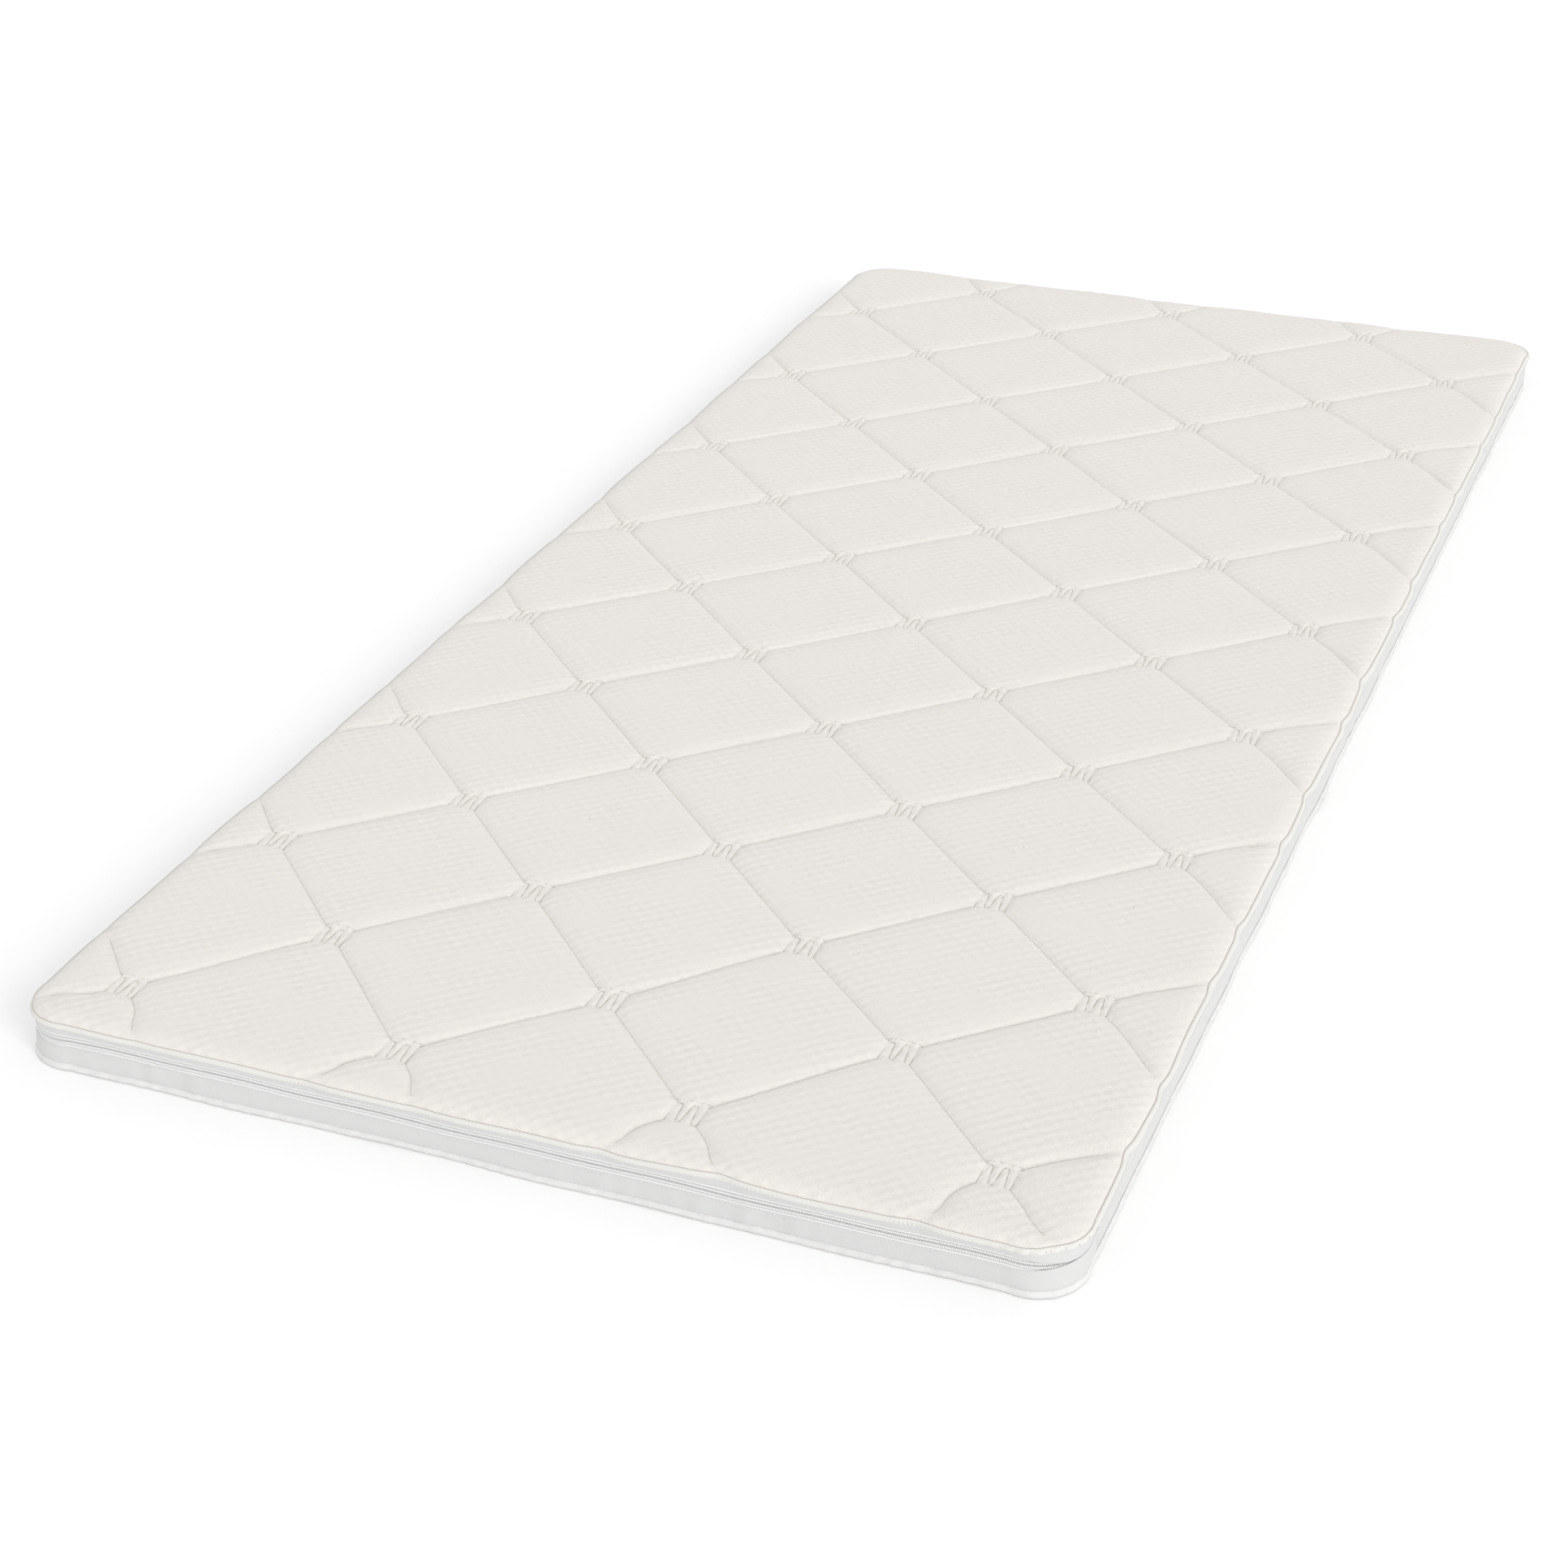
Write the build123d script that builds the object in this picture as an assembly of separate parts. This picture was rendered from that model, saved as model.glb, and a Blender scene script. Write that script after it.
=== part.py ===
from build123d import *
import math
import os

os.makedirs("parts", exist_ok=True)

# Quilted memory foam mattress topper in a zip cover, lying flat on the floor.
# Millimetres. Origin: middle of the plan, on the floor. +X right, +Y to the head, +Z up.
# Plan sizes are taken at the top seam. An inset goes inwards from the seam line, so a
# negative inset stands proud of it.

# Overall size
WIDTH = 900.0
LENGTH = 2000.0
HEIGHT = 50.0
CORNER_RADIUS = 50.0

# Layers, from the floor up
BOTTOM_PANEL = 2.0
CORE_HEIGHT = 40.0
BACKING = 0.5
TICKING = 1.4
THREAD = 0.4
CORE_TOP = BOTTOM_PANEL + CORE_HEIGHT
BACKING_TOP = CORE_TOP + BACKING
TICKING_TOP = HEIGHT - THREAD
WADDING_TOP = TICKING_TOP - TICKING
EDGE_ROLL = 5.0
CORE_EDGE = 3.0

# Border, seams and core in plan
SEAM_REACH = 3.6
BOTTOM_SEAM_REACH = 2.4
BORDER = 1.2
CORE_INSET = 6.4
TOP_SEAM_LOW = 39.6
TOP_SEAM_HIGH = 44.8
BOTTOM_SEAM_LOW = 0.4
BOTTOM_SEAM_HIGH = 6.4
STITCH_WIDTH = 0.6
STITCH_RISE = 0.3
STITCH_SETBACK = 1.6

# Zip
ZIP_Z = 28.5
ZIP_OPENING = 10.0
COIL_WIDTH = 6.8
COIL_GAP = 1.1
COIL_INSET = 1.4
COIL_DEPTH = 2.2
TAPE_INSET = COIL_INSET + COIL_DEPTH
TAPE = 0.5
TAPE_WIDTH = 13.0
ZIP_START_Y = -938.0
ZIP_END_Y = 945.0
STOP_LENGTH = 4.0
STOP_GAP = 0.5
STOP_PROUD = 0.2

# Slider and puller, parked at the closed end of the zip on the left side
SLIDER_Y = 930.0
SLIDER_LENGTH = 13.0
SLIDER_HALF_WIDTH = 4.6
SLIDER_TAIL_HALF_WIDTH = 3.9
SLIDER_FACE = -0.8
SLIDER_PLATE = 1.2
SLIDER_BACK = 4.4
SLIDER_BACK_PLATE = 1.0
SLIDER_CORNER = 1.5
FLANGE = 0.9
FLANGE_END = 3.3
WEB = 0.5
WEB_LENGTH = 5.5
BAIL_TOP = -3.1
BAIL_BAR = 0.8
BAIL_HALF_WIDTH = 1.1
BAIL_HALF_LENGTH = 4.5
BAIL_FOOT = 1.2
PIN_RADIUS = 0.5
PIN_INSET = -1.55
PULLER_LENGTH = 24.0
PULLER_HALF_WIDTH = 3.4
PULLER_WINDOW = 7.5
PULLER_ARM_OUT = 2.8
PULLER_ARM_IN = 1.4
PULLER_HOLE = 1.5
PULLER_HOLE_SETBACK = 3.5
PULLER_CORNER = 1.5

# Quilting: tacks in staggered columns, joined by diagonal lines
COLUMNS = 7
ROWS = 8
FIRST_TACK_X = -391.3
FIRST_TACK_Y = -928.3
COLUMN_PITCH = 126.9
ROW_PITCH = 249.9
TACK_WIDTH = 28.0
TACK_LENGTH = 24.0
TACK_STROKES = 5
QUILT_MARGIN = 7.0
STITCH_GAP = 1.0

# Care label, blank, hanging from the top seam at the head end
LABEL_X = 290.0
LABEL_WIDTH = 40.0
LABEL_DROP = 30.0
LABEL_PROUD = 0.4


def slab(inset, low, high):
    """A slab of the plan outline, set in from the seam line."""
    radius = CORNER_RADIUS - inset
    outline = RectangleRounded(WIDTH - 2 * inset, LENGTH - 2 * inset, radius)
    return Pos(0, 0, low) * extrude(outline, high - low)


def ring(inset, depth, low, high):
    """A band all round the plan outline."""
    return slab(inset, low, high) - slab(inset + depth, low, high)


def block(x_span, y_span, z_span):
    """A box between pairs of limits."""
    spans = (x_span, y_span, z_span)
    middle = [(low + high) / 2 for low, high in spans]
    return Pos(*middle) * Box(*[high - low for low, high in spans])


def hinge_zone(start_trim=0.0, end_trim=0.0):
    """The space of the right side and the head end, where the border has no zip."""
    reach_x = WIDTH / 2 + 2 * SEAM_REACH
    reach_y = LENGTH / 2 + 2 * SEAM_REACH
    tall = (-HEIGHT, 2 * HEIGHT)
    side_start = WIDTH / 2 - CORNER_RADIUS / 2
    right = block((side_start, reach_x), (ZIP_START_Y - start_trim, reach_y), tall)
    head = block((-reach_x, reach_x), (ZIP_END_Y - end_trim, reach_y), tall)
    return right + head


def along_zip(band, start_trim=0.0, end_trim=0.0):
    """The part of a band that the zip opens: foot end and left side."""
    return band - hinge_zone(start_trim, end_trim)


def left_side(inset_low, inset_high, y_span, z_span):
    """A box on the left side, between two insets from the seam line."""
    x_span = (inset_low - WIDTH / 2, inset_high - WIDTH / 2)
    return block(x_span, y_span, z_span)


def right_side(inset_low, inset_high, y_span, z_span):
    """A box on the right side, between two insets from the seam line."""
    x_span = (WIDTH / 2 - inset_high, WIDTH / 2 - inset_low)
    return block(x_span, y_span, z_span)


def rolled_slab(inset, low, high, roll):
    """A slab with its top edge rounded over."""
    body = slab(inset, low, high)
    return fillet(body.edges().group_by(Axis.Z)[-1], roll)


def foam_core():
    body = slab(CORE_INSET, BOTTOM_PANEL, CORE_TOP)
    rims = body.edges().group_by(Axis.Z)
    return fillet(rims[0] + rims[-1], CORE_EDGE)


def top_wadding():
    return rolled_slab(TICKING, BACKING_TOP, WADDING_TOP, EDGE_ROLL - TICKING)


def top_ticking():
    return rolled_slab(0, BACKING_TOP, TICKING_TOP, EDGE_ROLL) - top_wadding()


def tacks():
    """Centres of the tacks, column by column, every other column half a row on."""
    centres = []
    for column in range(COLUMNS):
        shift = (column % 2) * ROW_PITCH / 2
        x = FIRST_TACK_X + column * COLUMN_PITCH
        for row in range(ROWS):
            centres.append((x, FIRST_TACK_Y + row * ROW_PITCH + shift))
    return centres


def tack():
    """One tack: a serpentine of side-by-side strokes along the length."""
    half = TACK_LENGTH / 2
    step = TACK_WIDTH / (TACK_STROKES - 1)
    points = []
    for stroke in range(TACK_STROKES):
        x = stroke * step - TACK_WIDTH / 2
        up = 1 if stroke % 2 == 0 else -1
        points.append((x, -up * half))
        points.append((x, up * half))
    return extrude(trace(Polyline(*points), STITCH_WIDTH), THREAD)


def diagonal(x, y, side, end):
    """A quilt line from one corner of a tack towards the next column's tack."""
    start_x = x + side * (TACK_WIDTH / 2 + STITCH_GAP)
    start_y = y + end * (TACK_LENGTH / 2 + STITCH_GAP)
    run_x = side * (COLUMN_PITCH - TACK_WIDTH - 2 * STITCH_GAP)
    run_y = end * (ROW_PITCH / 2 - TACK_LENGTH - 2 * STITCH_GAP)
    room_x = WIDTH / 2 - QUILT_MARGIN - side * start_x
    room_y = LENGTH / 2 - QUILT_MARGIN - end * start_y
    share = min(1.0, room_x / abs(run_x), room_y / abs(run_y))
    length = share * math.hypot(run_x, run_y)
    angle = math.degrees(math.atan2(run_y, run_x))
    middle = (start_x + share * run_x / 2, start_y + share * run_y / 2, THREAD / 2)
    return Pos(*middle) * Rot(0, 0, angle) * Box(length, STITCH_WIDTH, THREAD)


def diagonals():
    """All quilt lines: upwards from each tack, and to the edges where a column ends."""
    lines = []
    for number, (x, y) in enumerate(tacks()):
        column, row = divmod(number, ROWS)
        for side in (-1, 1):
            lines.append(diagonal(x, y, side, 1))
            at_side = not 0 <= column + side < COLUMNS
            at_foot = row == 0 and column % 2 == 0
            if at_side or at_foot:
                lines.append(diagonal(x, y, side, -1))
    return lines


def quilting_thread():
    one = tack()
    stitches = [Pos(x, y) * one for x, y in tacks()] + diagonals()
    return Pos(0, 0, TICKING_TOP) * Compound(children=stitches)


def zip_stitching(low):
    return along_zip(ring(-STITCH_RISE, STITCH_RISE, low, low + STITCH_WIDTH))


def side_seam_stitching():
    """Two upright seams, where the plain border meets the zip strips."""
    z_span = (BOTTOM_SEAM_HIGH + STITCH_WIDTH, TOP_SEAM_LOW - STITCH_WIDTH)
    start = ZIP_START_Y + STITCH_SETBACK
    end = ZIP_END_Y + STITCH_SETBACK
    right = right_side(-STITCH_RISE, 0, (start, start + STITCH_WIDTH), z_span)
    left = left_side(-STITCH_RISE, 0, (end, end + STITCH_WIDTH), z_span)
    return Compound(children=[right, left])


def coil_half(side):
    """Half of the closed coil, above (1) or below (-1) the closing line."""
    edges = (ZIP_Z + side * COIL_GAP / 2, ZIP_Z + side * COIL_WIDTH / 2)
    band = ring(COIL_INSET, COIL_DEPTH, min(edges), max(edges))
    trim = STOP_LENGTH + 2 * STOP_GAP
    return along_zip(band, trim, trim)


def tape_half(side):
    """Half of the zip tape, behind the coil and the border's folded edge."""
    edges = (ZIP_Z + side * COIL_GAP / 2, ZIP_Z + side * TAPE_WIDTH)
    return along_zip(ring(TAPE_INSET, TAPE, min(edges), max(edges)))


def zip_bottom_stop():
    """Clamps both halves together where the zip starts, past the foot-right corner."""
    y_span = (ZIP_START_Y - STOP_GAP - STOP_LENGTH, ZIP_START_Y - STOP_GAP)
    z_span = (ZIP_Z - COIL_WIDTH / 2, ZIP_Z + COIL_WIDTH / 2)
    return right_side(COIL_INSET - STOP_PROUD, TAPE_INSET, y_span, z_span)


def zip_top_stops():
    """One on each half, where the zip ends on the left side."""
    y_span = (ZIP_END_Y - STOP_GAP - STOP_LENGTH, ZIP_END_Y - STOP_GAP)
    inner = COIL_GAP / 2
    outer = COIL_WIDTH / 2
    spans = [(ZIP_Z + inner, ZIP_Z + outer), (ZIP_Z - outer, ZIP_Z - inner)]
    proud = COIL_INSET - STOP_PROUD
    return Compound(children=[left_side(proud, TAPE_INSET, y_span, s) for s in spans])


def slider_plate(inset, thickness):
    """A slider wing: wide at the leading end, narrower at the tail."""
    half = SLIDER_LENGTH / 2
    tail = SLIDER_TAIL_HALF_WIDTH
    wide = SLIDER_HALF_WIDTH
    outline = [(-half, -tail), (0, -wide), (half, -wide), (half, wide), (0, wide), (-half, tail)]
    face = make_face(Polyline(*outline, close=True))
    wing = extrude(fillet(face.vertices(), SLIDER_CORNER), thickness)
    place = Plane(
        origin=(inset - WIDTH / 2, SLIDER_Y, ZIP_Z), x_dir=(0, 1, 0), z_dir=(1, 0, 0)
    )
    return place * wing


def slider_bail():
    """The arch over the slider's face that holds the puller's pin."""
    ends = (SLIDER_Y - BAIL_HALF_LENGTH, SLIDER_Y + BAIL_HALF_LENGTH)
    z_span = (ZIP_Z - BAIL_HALF_WIDTH, ZIP_Z + BAIL_HALF_WIDTH)
    arch = left_side(BAIL_TOP, SLIDER_FACE, ends, z_span)
    inner = (ends[0] + BAIL_FOOT, ends[1] - BAIL_FOOT)
    arch -= left_side(BAIL_TOP + BAIL_BAR, SLIDER_FACE, inner, z_span)
    shoulders = arch.edges().filter_by(Axis.Z).group_by(Axis.X)[0]
    return fillet(shoulders, BAIL_BAR)


def zip_slider():
    half = SLIDER_LENGTH / 2
    plate_back = SLIDER_FACE + SLIDER_PLATE
    body = slider_plate(SLIDER_FACE, SLIDER_PLATE)
    body += slider_plate(SLIDER_BACK, SLIDER_BACK_PLATE)
    lips = (SLIDER_Y - half + SLIDER_CORNER, SLIDER_Y + half - SLIDER_CORNER)
    wide = SLIDER_HALF_WIDTH
    for side in (-1, 1):
        edges = (ZIP_Z + side * (wide - FLANGE), ZIP_Z + side * wide)
        lip = left_side(plate_back, FLANGE_END, lips, (min(edges), max(edges)))
        body += lip & slider_plate(plate_back, FLANGE_END - plate_back)
    web_y = (SLIDER_Y, SLIDER_Y + WEB_LENGTH)
    web_z = (ZIP_Z - WEB / 2, ZIP_Z + WEB / 2)
    body += left_side(plate_back, SLIDER_BACK, web_y, web_z)
    return body + slider_bail()


def zip_puller():
    """A flat tab on a pin, lying back along the closed zip."""
    low = PIN_INSET - PIN_RADIUS
    high = PIN_INSET + PIN_RADIUS
    tip = SLIDER_Y - PULLER_LENGTH
    frame_y = (tip, SLIDER_Y)
    arm_z = (ZIP_Z - PULLER_ARM_OUT, ZIP_Z + PULLER_ARM_OUT)
    body = left_side(low, high, frame_y, arm_z)
    tab_z = (ZIP_Z - PULLER_HALF_WIDTH, ZIP_Z + PULLER_HALF_WIDTH)
    tab = left_side(low, high, (tip, SLIDER_Y - PULLER_WINDOW), tab_z)
    body += fillet(tab.edges().filter_by(Axis.X), PULLER_CORNER)
    window_z = (ZIP_Z - PULLER_ARM_IN, ZIP_Z + PULLER_ARM_IN)
    body -= left_side(low, high, (SLIDER_Y - PULLER_WINDOW, SLIDER_Y), window_z)
    centre_x = PIN_INSET - WIDTH / 2
    pin = Cylinder(PIN_RADIUS, 2 * PULLER_ARM_OUT)
    body += Pos(centre_x, SLIDER_Y, ZIP_Z) * pin
    eye = Rot(0, 90, 0) * Cylinder(PULLER_HOLE, 2 * (high - low))
    return body - Pos(centre_x, tip + PULLER_HOLE_SETBACK, ZIP_Z) * eye


def care_label():
    face_y = LENGTH / 2
    half = LABEL_WIDTH / 2
    x_span = (LABEL_X - half, LABEL_X + half)
    z_span = (TOP_SEAM_LOW - LABEL_DROP, TOP_SEAM_LOW)
    return block(x_span, (face_y, face_y + LABEL_PROUD), z_span)


BORDER_UPPER_EDGE = ZIP_Z + ZIP_OPENING / 2
BORDER_LOWER_EDGE = ZIP_Z - ZIP_OPENING / 2
border = ring(0, BORDER, BOTTOM_PANEL, CORE_TOP)
seam_line = STITCH_SETBACK + STITCH_WIDTH

pieces = {
    "foam_core": foam_core(),
    "bottom_panel": slab(0, 0, BOTTOM_PANEL),
    "top_backing": slab(0, CORE_TOP, BACKING_TOP),
    "top_wadding": top_wadding(),
    "top_ticking": top_ticking(),
    "quilting_thread": quilting_thread(),
    "upper_border": along_zip(ring(0, BORDER, BORDER_UPPER_EDGE, CORE_TOP)),
    "lower_border": along_zip(ring(0, BORDER, BOTTOM_PANEL, BORDER_LOWER_EDGE)),
    "hinge_border": border & hinge_zone(),
    "top_seam_overlock": ring(-SEAM_REACH, SEAM_REACH, TOP_SEAM_LOW, TOP_SEAM_HIGH),
    "top_seam_stitching": ring(
        -seam_line, STITCH_WIDTH, TOP_SEAM_HIGH, TOP_SEAM_HIGH + STITCH_RISE
    ),
    "bottom_seam_overlock": ring(
        -BOTTOM_SEAM_REACH, BOTTOM_SEAM_REACH, BOTTOM_SEAM_LOW, BOTTOM_SEAM_HIGH
    ),
    "bottom_seam_stitching": ring(
        -seam_line, STITCH_WIDTH, BOTTOM_SEAM_HIGH, BOTTOM_SEAM_HIGH + STITCH_RISE
    ),
    "zip_tape_upper": tape_half(1),
    "zip_tape_lower": tape_half(-1),
    "zip_coil_upper": coil_half(1),
    "zip_coil_lower": coil_half(-1),
    "zip_stitching_upper": zip_stitching(BORDER_UPPER_EDGE + STITCH_SETBACK),
    "zip_stitching_lower": zip_stitching(BORDER_LOWER_EDGE - seam_line),
    "side_seam_stitching": side_seam_stitching(),
    "zip_bottom_stop": zip_bottom_stop(),
    "zip_top_stops": zip_top_stops(),
    "zip_slider": zip_slider(),
    "zip_puller": zip_puller(),
    "care_label": care_label(),
}

for name, piece in pieces.items():
    export_step(piece, f"parts/{name}.step")
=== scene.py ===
import math

import bmesh
import bpy
import numpy as np
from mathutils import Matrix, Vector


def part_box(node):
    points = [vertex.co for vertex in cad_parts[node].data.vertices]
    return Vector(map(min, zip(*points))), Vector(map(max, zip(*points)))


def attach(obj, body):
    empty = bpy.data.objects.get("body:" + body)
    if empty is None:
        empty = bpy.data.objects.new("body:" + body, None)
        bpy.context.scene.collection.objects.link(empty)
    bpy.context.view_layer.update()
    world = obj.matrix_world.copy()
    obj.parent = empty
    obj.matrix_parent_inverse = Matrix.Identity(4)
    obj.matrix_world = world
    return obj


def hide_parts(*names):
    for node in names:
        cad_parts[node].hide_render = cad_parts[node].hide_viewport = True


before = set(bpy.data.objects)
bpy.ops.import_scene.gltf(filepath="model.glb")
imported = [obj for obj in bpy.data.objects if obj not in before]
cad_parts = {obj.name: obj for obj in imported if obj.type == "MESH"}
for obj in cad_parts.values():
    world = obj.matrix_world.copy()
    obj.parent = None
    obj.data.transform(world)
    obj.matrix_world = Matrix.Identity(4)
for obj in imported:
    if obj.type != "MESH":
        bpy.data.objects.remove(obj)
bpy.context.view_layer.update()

# A quilted memory foam topper in a zip cover. Lengths are millimetres until add_piece()
# makes a mesh in metres. Points of the cover's pattern are "flat": the plan before its
# corners are rounded and its seams draw in. "Inset" goes inwards from the top seam.
MM = 0.001
COVER = "cover_and_core"

# Plan and levels, from the frame
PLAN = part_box("bottom_panel")
HALF_W = PLAN[1].x / MM
HALF_L = PLAN[1].y / MM
CORNER = 50.0
INNER = np.array([HALF_W - CORNER, HALF_L - CORNER])
CORE_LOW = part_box("foam_core")[0].z / MM
CORE_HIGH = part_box("foam_core")[1].z / MM
CORE_INSET = HALF_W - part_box("foam_core")[1].x / MM
BACKING_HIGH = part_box("top_backing")[1].z / MM
ZIP_Z = (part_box("zip_coil_upper")[1].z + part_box("zip_coil_lower")[0].z) / 2 / MM
ZIP_START_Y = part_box("hinge_border")[0].y / MM
ZIP_END_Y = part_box("zip_coil_upper")[1].y / MM + 5.0
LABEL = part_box("care_label")

# Quilting pattern, as in the CAD model
FIRST_TACK = np.array([-391.3, -928.3])
COLUMN_PITCH = 126.9
ROW_PITCH = 249.9
LINE_SPACING = 1 / math.hypot(1 / (2 * COLUMN_PITCH), 1 / ROW_PITCH)
TACK = np.array([13.1, 12.9])
SERPENTINE = np.array([
    (-13.4, -12.9), (-12.6, 12.4), (-7.4, 11.4), (-5.2, -9.6), (-4.0, -12.2), (-2.1, -12.2),
    (-0.9, -9.6), (0.7, 10.2), (1.8, 12.3), (4.2, 12.3), (5.4, 10.2), (7.8, -9.6),
    (9.2, -12.3), (13.4, -12.9), (12.8, 12.7),
])
# Tacks near the foot end that sit off the pattern: place, slip
SLIPS = [
    ((-391, -928), (9, -8)), ((-137, -928), (10, -11)), ((-11, -803), (7, -9)),
    ((116, -928), (5, -8)), ((243, -803), (2, 5)),
]
SLIP_REACH = 105.0

# Height of the quilted top
SEAM_Z = 44.0
LINE_Z = 45.9
CROWN = 4.9
EDGE_ROLL = 16.0

# Way round the outline, clockwise from the end of the right side's straight
BEND = math.pi / 2 * CORNER
SIDES = [2 * INNER[0], 2 * INNER[1], 2 * INNER[0], 2 * INNER[1]]
AROUND = 4 * BEND + sum(SIDES)
ZIP_START = -INNER[1] - ZIP_START_Y
ZIP_END = 2 * BEND + SIDES[0] + INNER[1] + ZIP_END_Y


# ---------------------------------------------------------------- plan and cover shape

def smooth(value):
    """An S-curve from 0 to 1."""
    value = np.clip(value, 0, 1)
    return value * value * (3 - 2 * value)


def wave(place, shortest, longest, seed):
    """A seeded wobble of about -1 to 1 over the plan, with wavelengths between two lengths."""
    count = 7
    random = np.random.default_rng(seed)
    total = np.zeros(len(place))
    for _ in range(count):
        length = random.uniform(shortest, longest)
        heading = random.uniform(0.25, 1.3) * random.choice((-1, 1))
        across = place @ np.array([math.cos(heading), math.sin(heading)])
        total += np.cos(2 * math.pi * across / length + random.uniform(0, 2 * math.pi))
    return total / math.sqrt(count)


def track(way):
    """Places on the outline and their outward directions, at distances round it."""
    way = np.mod(way, AROUND)
    place = np.zeros((len(way), 2))
    out = np.zeros((len(way), 2))
    start = 0.0
    for corner, (sign_x, sign_y) in enumerate(((1, -1), (-1, -1), (-1, 1), (1, 1))):
        gone = way - start
        angle = -math.pi / 2 * corner - np.clip(gone, 0, BEND) / CORNER
        normal = np.stack([np.cos(angle), np.sin(angle)], axis=1)
        along = np.stack([normal[:, 1], -normal[:, 0]], axis=1)
        run = np.clip(gone - BEND, 0, SIDES[corner])[:, None]
        centre = INNER * (sign_x, sign_y)
        here = (gone >= 0) & (gone < BEND + SIDES[corner])
        place[here] = (centre + CORNER * normal + run * along)[here]
        out[here] = normal[here]
        start += BEND + SIDES[corner]
    return place, out


def seam_place(plan):
    """The place on the outline nearest to plan points, with its outward direction."""
    inner = np.clip(plan, -INNER, INNER)
    away = plan - inner
    length = np.hypot(*away.T)
    outside = length > 1e-6
    out = np.where(outside[:, None], away / np.maximum(length, 1e-6)[:, None], (1.0, 0.0))
    place = np.where(outside[:, None], inner + CORNER * out, plan)
    return place, out


def draw(flat):
    """The quilting, drawn a little out of line near the edges by the seam."""
    x, y = flat.T
    side = 1 - smooth((HALF_W - np.abs(x)) / 55)
    end = 1 - smooth((HALF_L - np.abs(y)) / 60)
    side *= smooth((HALF_L - np.abs(y)) / 90)
    end *= smooth((HALF_W - np.abs(x)) / 90)
    column = 2 * math.pi * (x - FIRST_TACK[0]) / (2 * COLUMN_PITCH)
    shift_y = np.where(x > 0, -11.5, 8.0) * side
    shift_x = np.where(y > 0, 12.0 * np.sin(column), 10.0 - 24.0 * np.sin(column)) * end
    drawn = flat + np.stack([shift_x, shift_y], axis=1)
    inside = smooth((HALF_W - np.abs(x)) / 40) * smooth((HALF_L - np.abs(y)) / 60)
    for place, slip in SLIPS:
        near = inside * np.exp(-((np.hypot(*(flat - place).T) / SLIP_REACH) ** 2))
        drawn += near[:, None] * slip
    return drawn


def lay(flat):
    """Where flat points lie in plan: drawn, and with the corners rounded."""
    flat = draw(flat)
    sign = np.sign(flat)
    local = (np.abs(flat) - INNER) / CORNER
    big = np.maximum(local.max(axis=1), 1e-9)
    u, v = local.T
    turn = np.where(u >= v, math.pi / 4 * v / big, math.pi / 2 - math.pi / 4 * u / big)
    rounded = INNER + CORNER * (big * np.stack([np.cos(turn), np.sin(turn)])).T
    in_corner = ((u > 0) & (v > 0))[:, None]
    return np.where(in_corner, sign * rounded, flat)


def lattice(flat):
    """Coordinates that are whole numbers along the two families of quilt lines."""
    x = (flat[:, 0] - FIRST_TACK[0]) / (2 * COLUMN_PITCH)
    y = (flat[:, 1] - FIRST_TACK[1]) / ROW_PITCH
    return x + y, x - y


def from_lattice(s, t):
    x = FIRST_TACK[0] + (s + t) * COLUMN_PITCH
    y = FIRST_TACK[1] + (s - t) * ROW_PITCH / 2
    return np.stack([x, y], axis=-1)


def tack_share(flat):
    """Distance from the nearest tack's middle: 1 on the tack's own outline."""
    local = np.abs(flat - from_lattice(*np.round(lattice(flat))))
    return (local / TACK).max(axis=1)


def inset_of(flat):
    """Distance in from the pattern's edge."""
    return np.maximum(np.minimum(HALF_W - np.abs(flat[:, 0]), HALF_L - np.abs(flat[:, 1])), 0)


def to_segment(points, start, end):
    """Distance from points to a straight stretch."""
    run = end - start
    share = np.clip((points - start) @ run / (run @ run), 0, 1)
    return np.hypot(*(points - start - share[:, None] * run).T)


def stitch_distance(flat):
    """Distance to the nearest quilt stitching: a line, or a tack where lines meet."""
    s, t = lattice(flat)
    near_s = np.abs(s - np.round(s)) * LINE_SPACING
    near_t = np.abs(t - np.round(t)) * LINE_SPACING
    line = np.minimum(near_s, near_t)
    local = flat - from_lattice(np.round(s), np.round(t))
    in_tack = (np.abs(local) < TACK).all(axis=1)
    close = (np.abs(local) < 2.5 * TACK).all(axis=1)
    tack = np.full(len(flat), 1e3)
    for start, end in zip(SERPENTINE[:-1], SERPENTINE[1:]):
        tack[close] = np.minimum(tack[close], to_segment(local[close], start, end))
    return np.where(in_tack, tack, np.minimum(line, tack))


def line_ends():
    """Places on the outline where quilt lines meet the seam."""
    found = []
    along = np.arange(-12, 12, 0.002)
    for family in range(2):
        for number in range(-12, 13):
            fixed = np.full_like(along, number)
            flat = from_lattice(fixed, along) if family else from_lattice(along, fixed)
            inside = (np.abs(flat) <= (HALF_W, HALF_L)).all(axis=1)
            edges = np.flatnonzero(np.diff(inside.astype(int)))
            found.append(flat[edges])
    return seam_place(lay(np.concatenate(found)))[0]


LINE_ENDS = line_ends()


def zip_side(place):
    """1 on the foot end, where the zip lies loosely, and 0 where the slider runs."""
    return smooth((-INNER[1] + 25 - place[:, 1]) / 60)


def fullness(place):
    """1 at the middle of a rounded corner, falling to 0 at its ends."""
    past = np.clip(np.abs(place) - INNER, 0, None)
    return past[:, 0] * past[:, 1] / (CORNER ** 2 / 2)


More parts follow.
